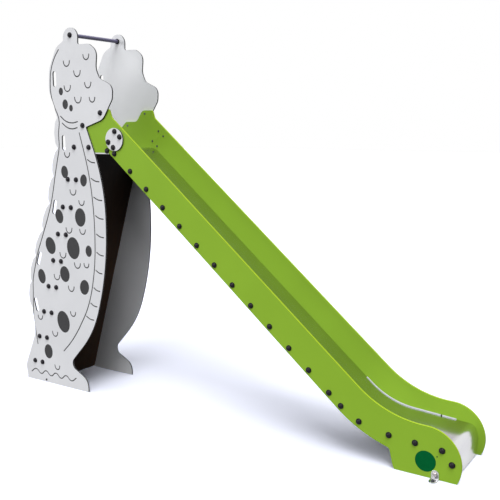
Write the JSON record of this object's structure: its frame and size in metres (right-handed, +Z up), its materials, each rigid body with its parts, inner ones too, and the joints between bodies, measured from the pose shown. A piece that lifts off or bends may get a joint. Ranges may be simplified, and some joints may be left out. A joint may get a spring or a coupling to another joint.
{
  "type": "playground slide",
  "caption": "Straight steel slide between solid side panels, with a leaning ladder tower, hand-hold slots, a grab bar and a rounded exit foot.",
  "frame": {"origin": "on the ground, below the middle of the slide's whole length and width", "axes": "+X along the slide towards the exit, +Y to the left side facing the exit, +Z up"},
  "size_m": [3.8274, 0.654, 2.908],
  "materials": {
    "white_panel": "high-pressure laminate, fine matt texture, dark core",
    "green_panel": "coloured sheet, satin",
    "stainless": "brushed stainless sheet",
    "tread_steel": "folded galvanised sheet, non-slip studs",
    "film_plywood": "film-faced plywood, brown-black",
    "bar_paint": "powder coat, satin",
    "black_cap": "black moulded plastic",
    "disc_green": "dark green, satin",
    "fastener": "plain stainless"
  },
  "bodies": {
    "root": {"side_panel_right": "white_panel", "side_panel_left": "white_panel", "start_side_right": "green_panel", "start_side_left": "green_panel", "slide_side_right": "green_panel", "slide_side_left": "green_panel", "splice_plate_right": "white_panel", "splice_plate_left": "white_panel", "slide_bed": "stainless", "bed_ribs": "stainless", "deck_board": "film_plywood", "deck_plate": "white_panel", "back_board": "film_plywood", "back_cleats": "stainless", "back_screws": "fastener", "grab_bar": "bar_paint", "bar_collars": "black_cap", "bar_bolts": "fastener", "tread_bolts": "fastener", "start_bolts": "fastener", "splice_bolts": "fastener", "bed_bolts": "fastener", "foot_bolts": "fastener", "bar_caps": "black_cap", "tread_caps": "black_cap", "start_caps": "black_cap", "splice_caps": "black_cap", "bed_caps": "black_cap", "foot_caps": "black_cap", "foot_disc_right": "disc_green", "foot_disc_left": "disc_green", "exit_brackets": "stainless", "tower_brackets": "stainless", "anchor_bolts": "fastener", "tread_1": "tread_steel", "tread_2": "tread_steel", "tread_3": "tread_steel", "tread_4": "tread_steel", "tread_5": "tread_steel", "tread_6": "tread_steel", "tread_7": "tread_steel", "tread_8": "tread_steel"}
  },
  "joints": []
}
